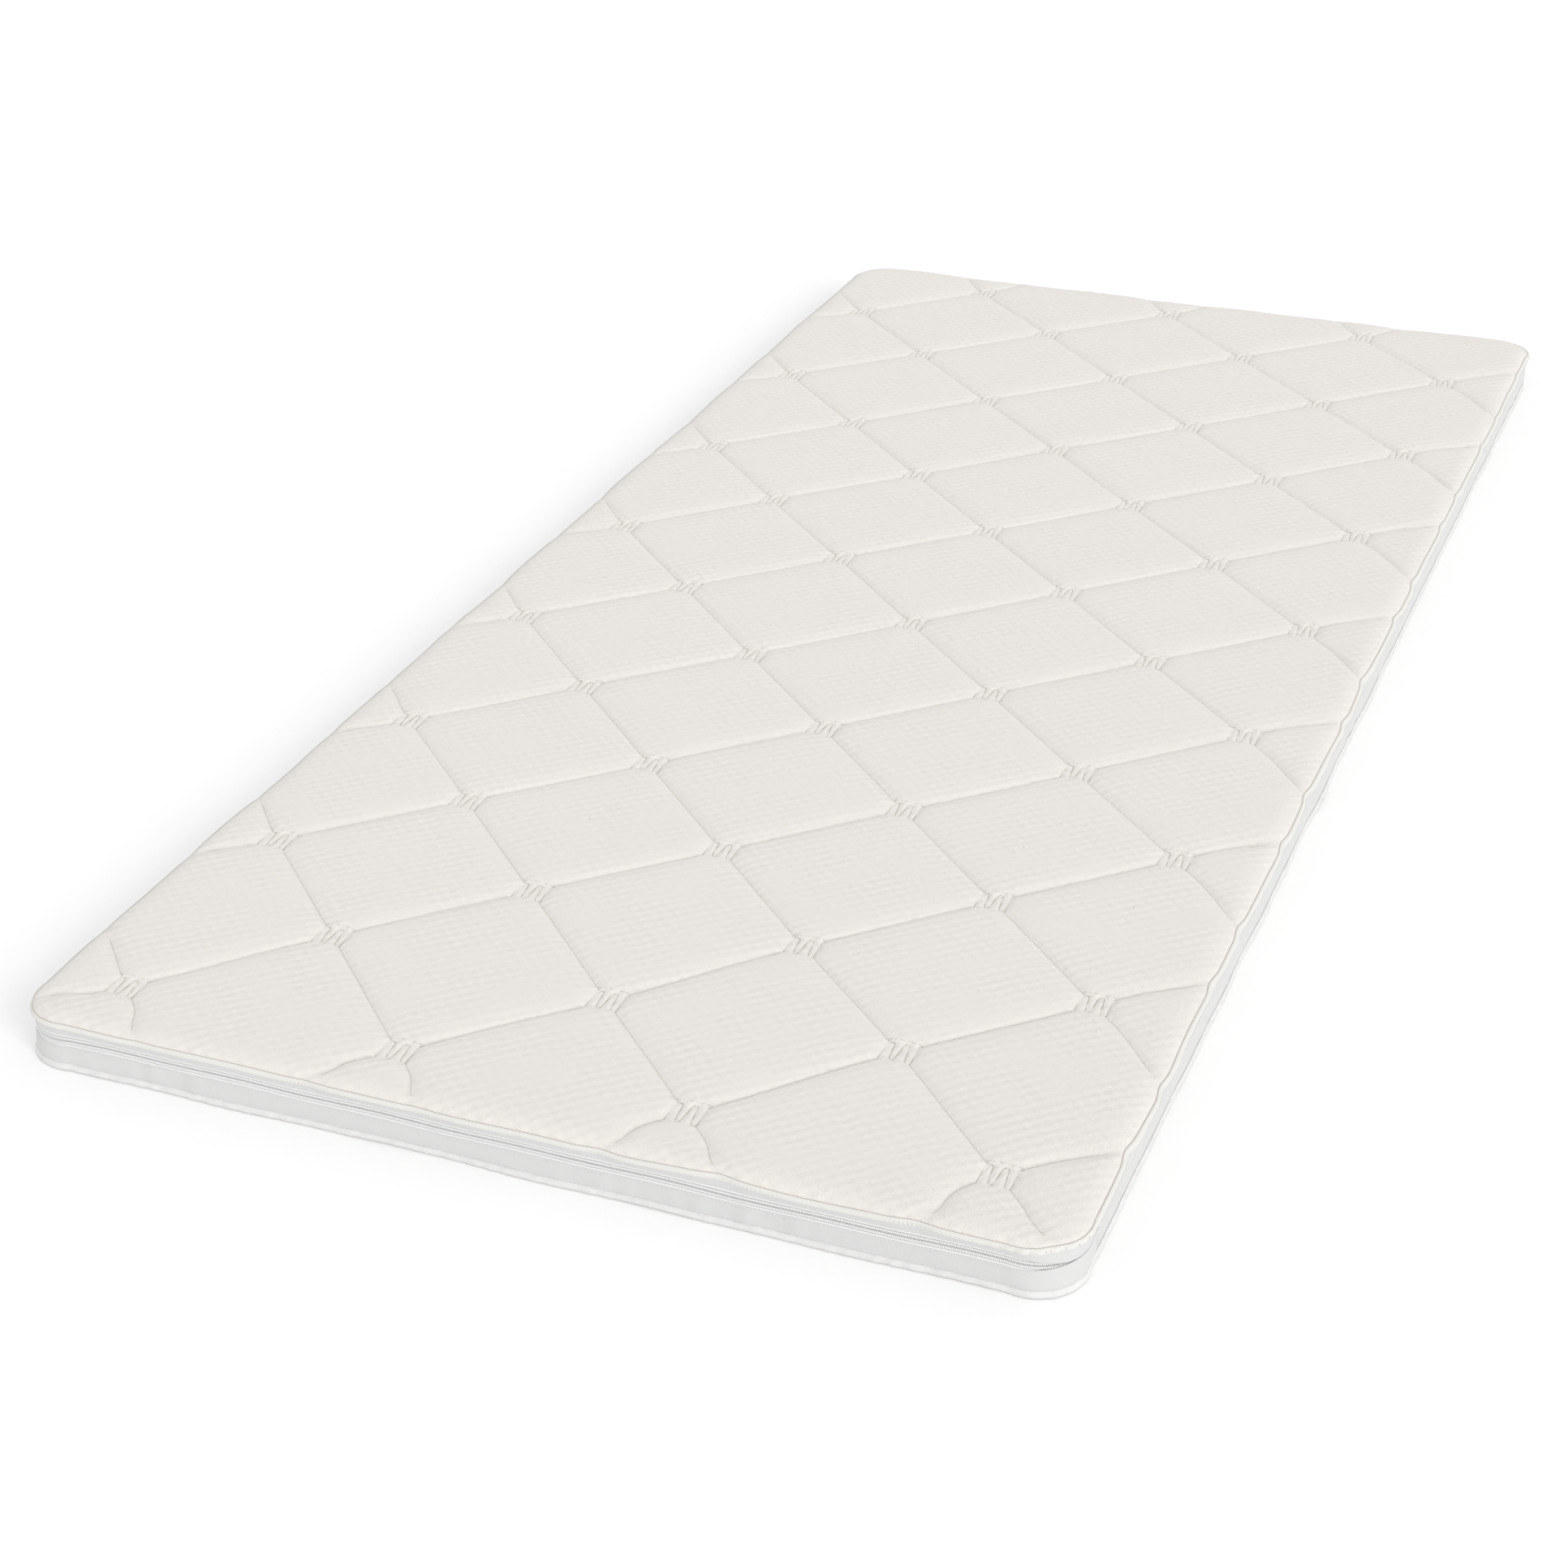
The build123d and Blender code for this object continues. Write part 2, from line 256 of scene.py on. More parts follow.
def seam_sway(place):
    """How far the top seam stands out: drawn in where a quilt line meets it."""
    gap = np.full(len(place), 1e3)
    for end in LINE_ENDS:
        gap = np.minimum(gap, np.hypot(*(place - end).T))
    depth = (1.9 + 0.8 * np.sign(place[:, 0])) * (1 - 0.55 * smooth((place[:, 1] - 150) / 700))
    cusp = -depth * np.exp(-((gap / 13) ** 2))
    return 0.9 + cusp + 0.7 * wave(place, 90, 260, 3) + 4.5 * fullness(place)


def seam_lift(place):
    """How far the top seam waves up and down."""
    return 0.9 * wave(place, 130, 330, 5)


def cover_shift(place, height):
    """How far the side of the cover stands out and up, from its seams to its zip."""
    top = smooth((height - 30) / 14)
    low = smooth((13 - height) / 11)
    middle = np.clip(1 - np.abs(height - ZIP_Z) / 13, 0, 1) ** 0.5
    full = fullness(place)
    hem = 0.9 * wave(place, 60, 240, 7) + 6.0 * full
    belly = 0.6 * wave(place, 160, 420, 8)
    free = zip_side(place)
    between = 4.0 * full * (1 - top) * (1 - low)
    out = seam_sway(place) * top + hem * low + belly * middle * free + between
    up = seam_lift(place) * top + 1.2 * wave(place, 110, 260, 9) * middle * free * (1 - top)
    hem_lift = np.maximum(wave(place, 70, 200, 11) - 0.4, 0)
    return out, up + hem_lift * low


def side_points(way, inset, height):
    """Points of a side piece, one row for each step round the outline."""
    place, out = track(way)
    rows = []
    for column in range(inset.shape[1]):
        stand, up = cover_shift(place, height[:, column])
        plan = place + out * (stand - inset[:, column])[:, None]
        z = np.maximum(height[:, column] + up, 0.15)
        rows.append(np.column_stack([plan, z]))
    return np.stack(rows, axis=1)


# ---------------------------------------------------------------- cloth simulation

def grid_lines(pitch, first, half, edge):
    """Positions across the pattern: even ones in step with the quilting, fine at edges."""
    low = math.ceil((-half + edge[-1] + pitch / 2 - first) / pitch)
    high = math.floor((half - edge[-1] - pitch / 2 - first) / pitch)
    even = first + pitch * np.arange(low, high + 1)
    rim = half - np.array(edge)
    return np.concatenate([-rim, even, rim[::-1]])


def flat_grid(steps, edge):
    """The flat pattern's grid lines, with so many steps to a column of tacks."""
    xs = grid_lines(COLUMN_PITCH / steps, FIRST_TACK[0], HALF_W, edge)
    ys = grid_lines(ROW_PITCH / 2 / steps, FIRST_TACK[1], HALF_L, edge)
    return xs, ys


def grid_points(xs, ys):
    return np.stack(np.meshgrid(xs, ys, indexing="ij"), axis=-1).reshape(-1, 2)


def grid_faces(rows, columns, ring_rows=False, ring_columns=False):
    """Quads of a grid of points."""
    i, j = np.meshgrid(
        np.arange(rows if ring_rows else rows - 1),
        np.arange(columns if ring_columns else columns - 1),
        indexing="ij",
    )
    i, j = i.ravel(), j.ravel()
    after_i, after_j = (i + 1) % rows, (j + 1) % columns
    corners = [(i, j), (after_i, j), (after_i, after_j), (i, after_j)]
    return np.stack([a * columns + b for a, b in corners], axis=1)


def make_mesh(name, points, faces):
    """A mesh from points and a list of arrays of faces."""
    counts = np.concatenate([np.full(len(f), f.shape[1]) for f in faces])
    corners = np.concatenate([f.ravel() for f in faces])
    mesh = bpy.data.meshes.new(name)
    mesh.vertices.add(len(points))
    mesh.vertices.foreach_set("co", np.ascontiguousarray(points, dtype=np.float32).ravel())
    mesh.loops.add(len(corners))
    mesh.loops.foreach_set("vertex_index", corners.astype(np.int32))
    mesh.polygons.add(len(counts))
    mesh.polygons.foreach_set("loop_start", (np.cumsum(counts) - counts).astype(np.int32))
    mesh.polygons.foreach_set("use_smooth", np.ones(len(counts), dtype=bool))
    mesh.update(calc_edges=True)
    return mesh


# The cloth is simulated at ten times its size, where the solver is steadier
SIM_STEPS = 16
SIM_EDGE = (0.0, 5.0)
SIM_SCALE = 0.01
SIM_FRAMES = 22
SIM_HELD = 3.2
SIM_LINES = flat_grid(SIM_STEPS, SIM_EDGE)


def puffed_ticking():
    """Cloth held along its stitching and puffed up: how high it rises, over the grid."""
    xs, ys = SIM_LINES
    flat = grid_points(xs, ys)
    stitch = stitch_distance(flat)
    free = np.minimum(stitch, inset_of(flat))
    shape = (len(xs), len(ys))
    start = 1.0 - np.exp(-free / 12)
    points = np.column_stack([lay(flat), start]) * SIM_SCALE
    cloth_piece = bpy.data.objects.new("puff", make_mesh("puff", points, [grid_faces(*shape)]))
    bpy.context.scene.collection.objects.link(cloth_piece)
    held = cloth_piece.vertex_groups.new(name="held")
    held.add([int(i) for i in np.flatnonzero(free < SIM_HELD)], 1.0, "REPLACE")
    modifier = cloth_piece.modifiers.new("cloth", "CLOTH")
    cloth = modifier.settings
    cloth.vertex_group_mass = "held"
    cloth.quality = 5
    cloth.mass = 0.02
    cloth.tension_stiffness = 12
    cloth.compression_stiffness = 12
    cloth.shear_stiffness = 4
    cloth.bending_stiffness = 0.3
    cloth.air_damping = 2
    cloth.use_pressure = True
    cloth.uniform_pressure_force = 5
    cloth.shrink_min = -0.012
    cloth.effector_weights.gravity = 0
    modifier.point_cache.frame_start = 1
    modifier.point_cache.frame_end = SIM_FRAMES
    for step in range(1, SIM_FRAMES + 1):
        bpy.context.scene.frame_set(step)
    view = bpy.context.evaluated_depsgraph_get()
    result = cloth_piece.evaluated_get(view).data
    moved = np.zeros(len(result.vertices) * 3, dtype=np.float32)
    result.vertices.foreach_get("co", moved)
    bpy.context.scene.frame_set(1)
    bpy.data.objects.remove(cloth_piece)
    return (moved.reshape(-1, 3)[:, 2] / SIM_SCALE).reshape(shape)


PUFF = puffed_ticking()
PUFF_SCALE = 0.42 * np.percentile(PUFF, 96)


def read_table(table, at_row, at_column):
    """A smooth reading of a table between its rows and columns."""
    i = np.clip(np.floor(at_row).astype(int), 1, table.shape[0] - 3)
    j = np.clip(np.floor(at_column).astype(int), 1, table.shape[1] - 3)

    def weights(t):
        t = np.clip(t, -1, 2)
        return [
            (-t + 2 * t**2 - t**3) / 2, (2 - 5 * t**2 + 3 * t**3) / 2,
            (t + 4 * t**2 - 3 * t**3) / 2, (-(t**2) + t**3) / 2,
        ]

    of_row, of_column = weights(at_row - i), weights(at_column - j)
    total = np.zeros(len(at_row))
    for a in range(4):
        for b in range(4):
            total += of_row[a] * of_column[b] * table[i + a - 1, j + b - 1]
    return total


def puff_at(flat):
    """The simulated rise of the ticking at flat points."""
    rows = [np.interp(flat[:, k], SIM_LINES[k], np.arange(len(SIM_LINES[k]))) for k in (0, 1)]
    return np.maximum(read_table(PUFF, *rows), 0)


def edge_round(flat, width):
    """0 at the rim, rising in a quarter round to 1."""
    return np.sqrt(1 - (1 - np.clip(inset_of(flat) / width, 0, 1)) ** 2)


def stitch_level(flat, plan, place):
    """Height of the ticking where it is stitched down."""
    edge = edge_round(flat, EDGE_ROLL)
    z = SEAM_Z + (LINE_Z - SEAM_Z) * edge + 0.35 * edge * wave(plan, 180, 420, 23)
    return z + seam_lift(place) * np.exp(-inset_of(flat) / 22)


def top_points(flat):
    """Where flat points of the quilted ticking lie."""
    inset = inset_of(flat)
    plan = lay(flat)
    place, out = seam_place(plan)
    stitch = stitch_distance(flat)
    edge = edge_round(flat, EDGE_ROLL)
    soft = np.tanh(puff_at(flat) / PUFF_SCALE) * (1 - np.exp(-stitch / 5))
    crease = 0.10 + 0.18 * smooth((tack_share(flat) - 0.8) / 0.4)
    puff = crease * (1 - np.exp(-stitch / 1.2)) + 0.33 * (1 - np.exp(-stitch / 6)) + 0.39 * soft
    pull = np.exp(-stitch / 9) * (1 - np.exp(-stitch / 2))
    gather = np.exp(-inset / 13) * (1 - np.exp(-inset / 3))
    z = stitch_level(flat, plan, place) + CROWN * puff * edge ** 1.3
    z += 0.35 * pull * edge * wave(plan, 13, 28, 21)
    z += 0.4 * gather * wave(place, 14, 30, 22)
    plan = plan + out * (seam_sway(place) * np.exp(-inset / 16))[:, None]
    return np.column_stack([plan, z])


# ---------------------------------------------------------------- making pieces

def add_piece(name, points, faces, slot, replaces=()):
    """A piece of the cover, from points in millimetres."""
    piece = bpy.data.objects.new(name, make_mesh(name, np.asarray(points) * MM, faces))
    bpy.context.scene.collection.objects.link(piece)
    piece.data.materials.append(MATERIALS[slot])
    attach(piece, COVER)
    if replaces:
        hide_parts(*replaces)
    return piece


def ends_of(start, end, step):
    """Even steps along the outline, from start to end."""
    return np.linspace(start, end, max(2, round((end - start) / step) + 1))


def band(name, way, inset, height, slot, replaces=(), ring=False):
    """A side piece with a closed section, swept along the outline."""
    points = side_points(way, inset, height)
    rows, columns = points.shape[:2]
    faces = [grid_faces(rows, columns, ring, True)]
    if not ring:
        first = np.arange(columns)[None, :]
        faces += [first[:, ::-1], first + (rows - 1) * columns]
    return add_piece(name, points.reshape(-1, 3), faces, slot, replaces)


def shell_faces(rows, columns):
    """Faces of two grids of points, the first over the second, and of the rim between them."""
    count = rows * columns
    sheet = grid_faces(rows, columns)
    ids = np.arange(count).reshape(rows, columns)
    rim = np.concatenate([ids[:-1, 0], ids[-1, :-1], ids[:0:-1, -1], ids[0, :0:-1]])
    after = np.roll(rim, -1)
    wall = np.stack([rim, rim + count, after + count, after], axis=1)
    return [sheet, sheet[:, ::-1] + count, wall]


def section(way, profile):
    """The same section at every step: arrays of insets and heights."""
    profile = np.array(profile, dtype=float)
    return [np.repeat(profile[None, :, k], len(way), axis=0) for k in (0, 1)]


def strands(name, paths, side, radius, slot, replaces=()):
    """Short threads: each a path of points, with the direction across it."""
    count, steps = paths.shape[:2]
    along = np.gradient(paths, axis=1)
    along /= np.linalg.norm(along, axis=2, keepdims=True)
    side = side - along * (side * along).sum(axis=2, keepdims=True)
    side /= np.linalg.norm(side, axis=2, keepdims=True)
    up = np.cross(side, along)
    ring = [side, up, -side, -up]
    points = np.stack([paths + radius * r for r in ring], axis=2)
    offset = (np.arange(count) * steps * 4)[:, None, None]
    tube = (grid_faces(steps, 4, False, True)[None] + offset).reshape(-1, 4)
    first = np.arange(4)[None, None] + offset
    caps = np.concatenate([first, first[:, :, ::-1] + (steps - 1) * 4]).reshape(-1, 4)
    return add_piece(name, points.reshape(-1, 3), [tube, caps], slot, replaces)


# ---------------------------------------------------------------- materials

def material(name, color, roughness, metallic=0.0):
    """A plain material for a Look to work on."""
    made = bpy.data.materials.new(name)
    made.use_nodes = True
    shader = made.node_tree.nodes["Principled BSDF"]
    shader.inputs["Base Color"].default_value = (*color, 1)
    shader.inputs["Roughness"].default_value = roughness
    shader.inputs["Metallic"].default_value = metallic
    return made


class Look:
    """Builds a material's nodes: each call adds one node and returns its output."""

    def __init__(self, made):
        self.tree = made.node_tree
        self.shader = self.tree.nodes["Principled BSDF"]
        place = self.tree.nodes.new("ShaderNodeTexCoord")
        self.place = place.outputs["Object"]
        split = self.tree.nodes.new("ShaderNodeSeparateXYZ")
        self.tree.links.new(self.place, split.inputs[0])
        self.x, self.y, self.z = split.outputs

    def put(self, socket, value):
        if isinstance(value, (int, float, tuple)):
            socket.default_value = value
        else:
            self.tree.links.new(value, socket)

    def math(self, kind, a, b=0.0):
        node = self.tree.nodes.new("ShaderNodeMath")
        node.operation = kind
        self.put(node.inputs[0], a)
        self.put(node.inputs[1], b)
        return node.outputs[0]

    def ripple(self, coordinate, pitch):
        """A sine along a coordinate, with a pitch in metres."""
        return self.math("SINE", self.math("MULTIPLY", coordinate, 2 * math.pi / pitch))

    def noise(self, size, detail=2.0):
        """Noise about 0.5, with features of a size in metres."""
        node = self.tree.nodes.new("ShaderNodeTexNoise")
        self.put(node.inputs["Vector"], self.place)
        node.inputs["Scale"].default_value = 1 / size
        node.inputs["Detail"].default_value = detail
        return node.outputs["Fac"]

    def cells(self, size):
        """Distance from the nearest of many scattered points, a size in metres apart."""
        node = self.tree.nodes.new("ShaderNodeTexVoronoi")
        self.put(node.inputs["Vector"], self.place)
        node.inputs["Scale"].default_value = 1 / size
        return node.outputs["Distance"]

    def ramp(self, value, low, high):
        """0 below low, 1 above high."""
        node = self.tree.nodes.new("ShaderNodeMapRange")
        self.put(node.inputs["Value"], value)
        node.inputs["From Min"].default_value = low
        node.inputs["From Max"].default_value = high
        return node.outputs["Result"]

    def mix(self, share, a, b):
        """A colour from a to b."""
        node = self.tree.nodes.new("ShaderNodeMix")
        node.data_type = "RGBA"
        self.put(node.inputs[0], share)
        self.put(node.inputs[6], a if not isinstance(a, tuple) else (*a, 1.0))
        self.put(node.inputs[7], b if not isinstance(b, tuple) else (*b, 1.0))
        return node.outputs[2]

    def color(self, value):
        self.tree.links.new(value, self.shader.inputs["Base Color"])

    def roughness(self, value):
        self.tree.links.new(value, self.shader.inputs["Roughness"])

    def bump(self, height, depth, strength=1.0):
        """Relief of a depth in metres."""
        node = self.tree.nodes.new("ShaderNodeBump")
        node.inputs["Strength"].default_value = strength
        node.inputs["Distance"].default_value = depth
        self.put(node.inputs["Height"], height)
        self.tree.links.new(node.outputs[0], self.shader.inputs["Normal"])


def shade(color, factor):
    return tuple(c * factor for c in color)


def knit_ticking():
    """Double knit with small raised cells, painted shade in the valleys between them, cream flecks and
    a few dark ones.
    """
    base = (0.862, 0.830, 0.789)
    made = material("knit_ticking", base, 0.9)
    look = Look(made)
    look.shader.inputs["Sheen Weight"].default_value = 0.12
    stray = look.math("MULTIPLY", look.math("SUBTRACT", look.noise(0.012, 2.0), 0.5), 0.004)
    across = look.ripple(look.math("ADD", look.x, stray), 0.0152)
    along = look.ripple(look.math("SUBTRACT", look.y, stray), 0.0142)
    checks = look.math("MULTIPLY", across, along)
    # The checks fade out in patches of noise; this sets both their relief and their painted valley
    # shade.
    worn = look.math("MULTIPLY", checks, look.ramp(look.noise(0.05, 1.0), 0.25, 0.6))
    plump = look.ramp(worn, -1.0, 1.0)
    loops = look.noise(0.0012, 2.0)
    crumple = look.noise(0.0045, 3.0)
    wales = look.math("ABSOLUTE", look.ripple(look.x, 0.0026))
    courses = look.math("ABSOLUTE", look.ripple(look.y, 0.0020))
    knit = look.math("MULTIPLY", look.math("MULTIPLY", wales, courses), 0.22)
    fine = look.math("ADD", look.math("MULTIPLY", loops, 0.25), look.math("MULTIPLY", crumple, 0.8))
    fine = look.math("ADD", fine, knit)
    look.bump(look.math("ADD", plump, fine), 0.0010, 0.85)
    # Painted shade: the valleys between the raised cells are coloured darker, and the cells a touch
    # lighter as a painted highlight.
    painted_valley_shade = look.mix(plump, shade(base, 0.955), shade(base, 1.01))
    melange = look.ramp(look.noise(0.004, 4.0), 0.35, 0.75)
    tinted = look.mix(look.math("MULTIPLY", melange, 0.6), painted_valley_shade, (0.87, 0.835, 0.785))
    flecks = look.ramp(look.noise(0.0016, 2.0), 0.66, 0.74)
    flecked = look.mix(look.math("MULTIPLY", flecks, 0.5), tinted, (0.68, 0.62, 0.53))
    dot = look.math("LESS_THAN", look.cells(0.030), 0.022)
    chosen = look.math("GREATER_THAN", look.noise(0.05, 0.0), 0.55)
    speck = look.math("MULTIPLY", look.math("MULTIPLY", dot, chosen), 0.75)
    look.color(look.mix(speck, flecked, (0.30, 0.22, 0.14)))
    return made


def side_knit(name, base):
    """Plain fine-rib knit for upright strips, its ribs running up and down, with painted shade between
    the ribs.
    """
    made = material(name, base, 0.88)
    look = Look(made)
    look.shader.inputs["Sheen Weight"].default_value = 0.1
    along = look.math("ADD", look.x, look.y)
    ribs = look.math("ABSOLUTE", look.ripple(along, 0.0028))
    courses = look.math("ABSOLUTE", look.ripple(look.z, 0.0022))
    relief = look.math("ADD", ribs, look.math("MULTIPLY", courses, 0.4))
    look.bump(look.math("ADD", relief, look.noise(0.0015)), 0.00018, 0.5)
    cloudy = look.ramp(look.noise(0.03, 3.0), 0.3, 0.7)
    tone = look.mix(cloudy, shade(base, 0.975), base)
    # Painted shade: the grooves between the ribs are coloured darker than the ribs' crowns.
    look.color(look.mix(look.math("MULTIPLY", ribs, 0.35), shade(base, 0.95), tone))
    return made


def woven(name, base, pitch=0.0012):
    """Plain weave, with painted shade in the low points of the weave."""
    made = material(name, base, 0.85)
    look = Look(made)
    along = look.math("ADD", look.x, look.y)
    warp = look.ripple(along, pitch)
    weft = look.ripple(look.math("SUBTRACT", look.math("ADD", look.x, look.z), look.y), pitch)
    weave = look.math("MULTIPLY", warp, weft)
    look.bump(weave, 0.00015, 0.5)
    # Painted shade: the weave's low points are coloured darker, mixed with random tone from noise.
    share = look.ramp(look.math("ADD", weave, look.noise(0.006)), -0.6, 1.4)
    look.color(look.mix(share, shade(base, 0.93), base))
    return made


def fibrous(name, base, size, depth):
    """Matted fibres or open pores of a size, with painted shade in the pores."""
    made = material(name, base, 0.95)
    look = Look(made)
    pores = look.cells(size)
    matted = look.noise(size * 2, 6.0)
    look.bump(look.math("ADD", pores, matted), depth, 0.7)
    # Painted shade: the colour darkens towards the middle of each pore, where the relief is lowest.
    look.color(look.mix(look.ramp(pores, 0.1, 0.7), shade(base, 0.88), base))
    return made


def thread(name, base):
    """Twisted thread, with painted shade between its twists."""
    made = material(name, base, 0.6)
    look = Look(made)
    diagonal = look.math("ADD", look.math("ADD", look.x, look.y), look.z)
    twist = look.math("ABSOLUTE", look.ripple(diagonal, 0.0016))
    look.bump(twist, 0.0001, 0.6)
    # Painted shade: the grooves between the twists are coloured darker, more so in patches set by
    # noise.
    tone = look.math("MULTIPLY", twist, look.noise(0.01))
    look.color(look.mix(look.ramp(tone, 0.0, 0.7), shade(base, 0.82), base))
    return made


def nylon(name, base):
    """Drawn nylon, slightly glossy."""
    made = material(name, base, 0.35)
    look = Look(made)
    grain = look.noise(0.0008, 3.0)
    look.bump(grain, 0.00005, 0.4)
    look.color(look.mix(grain, shade(base, 0.92), base))
    look.roughness(look.ramp(look.noise(0.004), -1.2, 2.6))
    return made


def nickel(name):
    """Nickel plate, brushed and a little worn."""
    base = (0.60, 0.59, 0.57)
    made = material(name, base, 0.32, 1.0)
    look = Look(made)
    scratches = look.noise(0.0006, 5.0)
    look.bump(scratches, 0.00004, 0.4)
    look.color(look.mix(look.noise(0.004, 3.0), shade(base, 0.85), base))
    look.roughness(look.ramp(look.noise(0.0015, 4.0), -1.0, 2.4))
    return made


MATERIALS = {
    "knit_ticking": knit_ticking(),
    "border_knit": side_knit("border_knit", (0.708, 0.705, 0.702)),
    "under_fabric": woven("under_fabric", (0.78, 0.775, 0.77), 0.0016),
    "backing": fibrous("backing", (0.85, 0.85, 0.84), 0.0015, 0.0001),
    "wadding": fibrous("wadding", (0.88, 0.88, 0.87), 0.004, 0.0006),
    "foam": fibrous("foam", (0.86, 0.80, 0.60), 0.0018, 0.0004),
    "quilt_thread": thread("quilt_thread", (0.52, 0.475, 0.41)),
    "seam_thread": thread("seam_thread", (0.86, 0.855, 0.84)),
    "zip_tape": woven("zip_tape", (0.91, 0.91, 0.905), 0.0008),
    "label_cloth": woven("label_cloth", (0.86, 0.86, 0.85), 0.0006),
    "zip_coil": nylon("zip_coil", (0.91, 0.91, 0.905)),
    "zip_metal": nickel("zip_metal"),
}
# The ticking's slot, where it is rolled under the top seam and lies on its side
LIP = side_knit("rolled_ticking", (0.82, 0.80, 0.765))


# ---------------------------------------------------------------- the quilted top

TOP_STEPS = 25
TOP_EDGE = (0.0, 1.2, 3.0, 5.4, 8.4)


def crowd(flat):
    """Grid points moved closer to the quilt lines, where the ticking folds sharply."""
    fade = smooth((inset_of(flat) - 8) / 20)
    moved = []
    for value in lattice(flat):
        off = (value - np.round(value)) * LINE_SPACING
        pull = 0.45 * np.exp(-((off / 9) ** 2)) * fade
        moved.append(value - off * pull / LINE_SPACING)
    near_tack = smooth((tack_share(flat) - 1.2) / 1.2)[:, None]
    return flat + (from_lattice(*moved) - flat) * near_tack


def quilted_top():
    """The ticking, with a finer mesh at the tacks."""
    xs, ys = flat_grid(TOP_STEPS, TOP_EDGE)
    flat = grid_points(xs, ys)
    level = np.column_stack([flat, np.zeros(len(flat))])
    mesh = make_mesh("top", level, [grid_faces(len(xs), len(ys))])
    shape = bmesh.new()
    shape.from_mesh(mesh)
    centres = np.array([face.calc_center_median()[:2] for face in shape.faces])
    local = np.abs(centres - from_lattice(*np.round(lattice(centres))))
    wanted = (local < TACK + 3).all(axis=1) & (inset_of(centres) > 20)
    shape.faces.ensure_lookup_table()
    edges = {edge for i in np.flatnonzero(wanted) for edge in shape.faces[i].edges}
    edges = sorted(edges, key=lambda edge: edge.index)
    bmesh.ops.subdivide_edges(shape, edges=edges, cuts=2, use_grid_fill=True)
    shape.verts.index_update()
    rings = [[vertex.index for vertex in face.verts] for face in shape.faces]
    flat = np.array([vertex.co[:2] for vertex in shape.verts])
    shape.free()
    bpy.data.meshes.remove(mesh)
    quads = np.array([ring for ring in rings if len(ring) == 4])
    fans = [(ring[0], *pair) for ring in rings if len(ring) != 4 for pair in zip(ring[1:], ring[2:])]
    faces = [along_lines(flat, quads)] + [np.array([fan]) for fan in fans]
    points = top_points(crowd(flat))
    return add_piece("quilted_ticking", points, faces, "knit_ticking", ("top_ticking",))


def along_lines(flat, quads):
    """Quads cut into triangles along whichever family of quilt lines is nearest."""
    s, t = lattice(flat[quads].mean(axis=1))
    near_s = np.abs(s - np.round(s)) < np.abs(t - np.round(t))
    run = flat[quads[:, 2]] - flat[quads[:, 0]]
    first = (run[:, 0] * run[:, 1] > 0) != near_s
    a = np.where(first[:, None], quads[:, [0, 1, 2]], quads[:, [0, 1, 3]])
    b = np.where(first[:, None], quads[:, [0, 2, 3]], quads[:, [1, 2, 3]])
    return np.concatenate([a, b])


def closed_slab(name, steps, inset, low, high, slot, replaces):
    """A closed slab of the plan, between two surfaces given over flat points."""
    xs, ys = flat_grid(steps, (0.0, 1.5, 4.0, 8.0))
    flat = grid_points(xs, ys)
    plan = lay(flat) * (1 - inset / np.array([HALF_W, HALF_L]))
    points = np.concatenate([np.column_stack([plan, level(flat)]) for level in (high, low)])
    return add_piece(name, points, shell_faces(len(xs), len(ys)), slot, replaces)


def wadding_top(flat):
    """The wadding's upper face: under the ticking, pressed thin at the stitching."""
    plan = lay(flat)
    level = stitch_level(flat, plan, seam_place(plan)[0])
    rise = 2.6 * smooth((stitch_distance(flat) - 14) / 40) * edge_round(flat, 60)
    return np.maximum(level - 1.3 + rise, BACKING_HIGH + 0.3)


def inner_layers():
    """Wadding, backing, foam and underside."""
    wadding = closed_slab(
        "wadding_layer", 10, 2.5,
        lambda flat: np.full(len(flat), BACKING_HIGH), wadding_top, "wadding", ("top_wadding",),
    )
    backing = closed_slab(
        "quilt_backing", 6, 2.0,
        lambda flat: np.full(len(flat), CORE_HIGH),
        lambda flat: np.full(len(flat), BACKING_HIGH) - 0.05, "backing", ("top_backing",),
    )
    foam = closed_slab(
        "foam_slab", 6, CORE_INSET,
        lambda flat: CORE_LOW + 0.05 + 4 * (1 - edge_round(flat, 6)),
        lambda flat: CORE_HIGH - 0.1 - 4 * (1 - edge_round(flat, 6)),
        "foam", ("foam_core",),
    )
    under = closed_slab(
        "underside_panel", 6, 0.8,
        lambda flat: 0.1 + 1.4 * (1 - edge_round(flat, 8)),
        lambda flat: 1.5 + 1.4 * (1 - edge_round(flat, 8)) + 0.1 * wave(flat, 60, 200, 31),
        "under_fabric", ("bottom_panel",),
    )


# Stitch pitches, and how far along a stitch its thread rises above the ticking
LINE_STITCH = 5.4
TACK_STITCH = 3.4
TACK_LIFT = 0.36
STITCH = ((0.0, -0.20), (0.16, -0.03), (0.84, -0.03), (1.0, -0.20))


def spaced(start, end, pitch):
    """Start and end points of stitches along a straight stretch of the flat pattern."""
    length = float(np.hypot(*(end - start)))
    count = max(1, round(length / pitch))
    share = np.arange(count) / count
    steps = start + share[:, None] * (end - start)
    return steps, steps + (end - start) / count


def quilt_runs():
    """Every straight run of quilting in the flat pattern: start, end, stitch pitch, lift."""
    runs = []
    whole = np.arange(-10.0, 11.0)
    for s in whole:
        for t in whole:
            here = from_lattice(s, t)
            if (np.abs(here) < (HALF_W, HALF_L)).all():
                for a, b in zip(SERPENTINE[:-1], SERPENTINE[1:]):
                    runs.append((here + a, here + b, TACK_STITCH, TACK_LIFT))
            for other in (from_lattice(s + 1, t), from_lattice(s, t + 1)):
                corner = TACK * np.sign(other - here)
                runs.append((here + corner, other - corner, LINE_STITCH, 0.0))
    return runs


